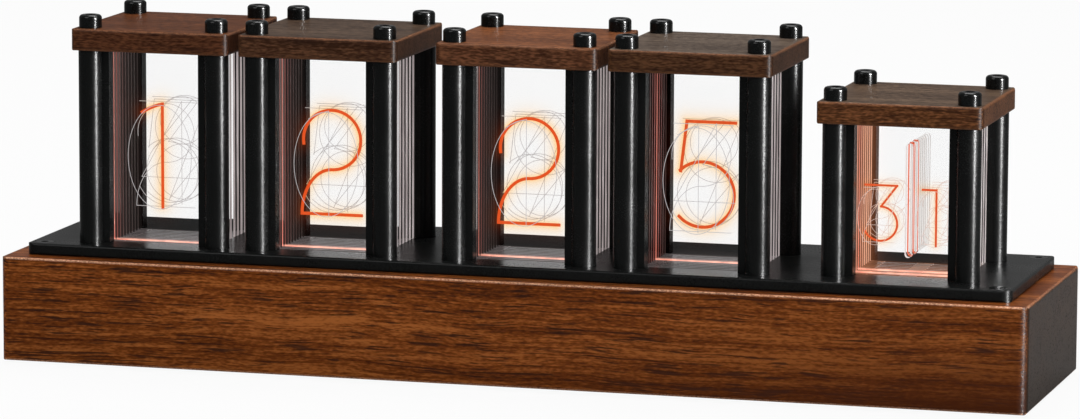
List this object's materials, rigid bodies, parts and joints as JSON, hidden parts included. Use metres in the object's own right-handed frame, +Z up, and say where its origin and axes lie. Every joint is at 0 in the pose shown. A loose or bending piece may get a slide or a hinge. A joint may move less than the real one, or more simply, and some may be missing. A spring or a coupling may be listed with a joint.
{
  "type": "edge-lit desk clock",
  "caption": "Desk clock with a walnut base, black metal plate and post-mounted stacks of clear engraved digit plates, lit from below to show the time and the date.",
  "frame": {"origin": "on the table under the middle of the base, level with the soles of the feet", "axes": "+X along the base to the date end, +Y from the front to the back, +Z up"},
  "size_m": [0.32, 0.082, 0.107],
  "materials": {
    "walnut_base": "oiled walnut",
    "walnut_cap": "oiled walnut",
    "black_plate": "satin",
    "black_post": "black anodised, satin",
    "black_screw": "black oxide, semi-gloss",
    "clear_plate": "clear, polished",
    "lit_plate": "clear, edge-lit",
    "foot_rubber": "matte",
    "button_black": "matte",
    "black_plastic": "matte",
    "circuit_board": "solder mask",
    "bright_steel": "plated",
    "led_white": "clear lens"
  },
  "bodies": {
    "clock": {"base_block": "walnut_base", "top_plate": "black_plate", "top_plate_screws": "black_screw", "bottom_cover": "black_plate", "bottom_cover_screws": "black_screw", "rubber_feet": "foot_rubber", "main_board": "circuit_board", "main_board_spacers": "black_plastic", "main_board_screws": "bright_steel", "main_board_chips": "black_plastic", "board_headers": "black_plastic", "coin_cell_holder": "black_plastic", "coin_cell": "bright_steel", "power_inlet": "bright_steel", "tact_switches": "black_plastic", "post_screws": "bright_steel", "leds": "led_white", "light_board_screws": "bright_steel", "hour_tens_cap": "walnut_cap", "hour_tens_posts": "black_post", "hour_tens_cap_screws": "black_screw", "hour_tens_plates": "clear_plate", "hour_tens_lit_plates": "lit_plate", "hour_tens_slot_block": "black_plastic", "hour_tens_light_board": "circuit_board", "hour_units_cap": "walnut_cap", "hour_units_posts": "black_post", "hour_units_cap_screws": "black_screw", "hour_units_plates": "clear_plate", "hour_units_lit_plates": "lit_plate", "hour_units_slot_block": "black_plastic", "hour_units_light_board": "circuit_board", "minute_tens_cap": "walnut_cap", "minute_tens_posts": "black_post", "minute_tens_cap_screws": "black_screw", "minute_tens_plates": "clear_plate", "minute_tens_lit_plates": "lit_plate", "minute_tens_slot_block": "black_plastic", "minute_tens_light_board": "circuit_board", "minute_units_cap": "walnut_cap", "minute_units_posts": "black_post", "minute_units_cap_screws": "black_screw", "minute_units_plates": "clear_plate", "minute_units_lit_plates": "lit_plate", "minute_units_slot_block": "black_plastic", "minute_units_light_board": "circuit_board", "date_cap": "walnut_cap", "date_posts": "black_post", "date_cap_screws": "black_screw", "date_plates": "clear_plate", "date_lit_plates": "lit_plate", "date_slot_block": "black_plastic", "date_light_board": "circuit_board"},
    "set_key": {"set_button": "button_black", "set_plunger": "bright_steel"},
    "up_key": {"up_button": "button_black", "up_plunger": "bright_steel"},
    "down_key": {"down_button": "button_black", "down_plunger": "bright_steel"}
  },
  "joints": [
    {"name": "set_press", "type": "slide", "parent": "clock", "child": "set_key", "axis": [0, -1, 0], "range_m": [0, 0.0006], "stiffness_N_per_m": 1500, "springref_m": -0.0004},
    {"name": "up_press", "type": "slide", "parent": "clock", "child": "up_key", "axis": [0, -1, 0], "range_m": [0, 0.0006], "stiffness_N_per_m": 1500, "springref_m": -0.0004},
    {"name": "down_press", "type": "slide", "parent": "clock", "child": "down_key", "axis": [0, -1, 0], "range_m": [0, 0.0006], "stiffness_N_per_m": 1500, "springref_m": -0.0004}
  ]
}
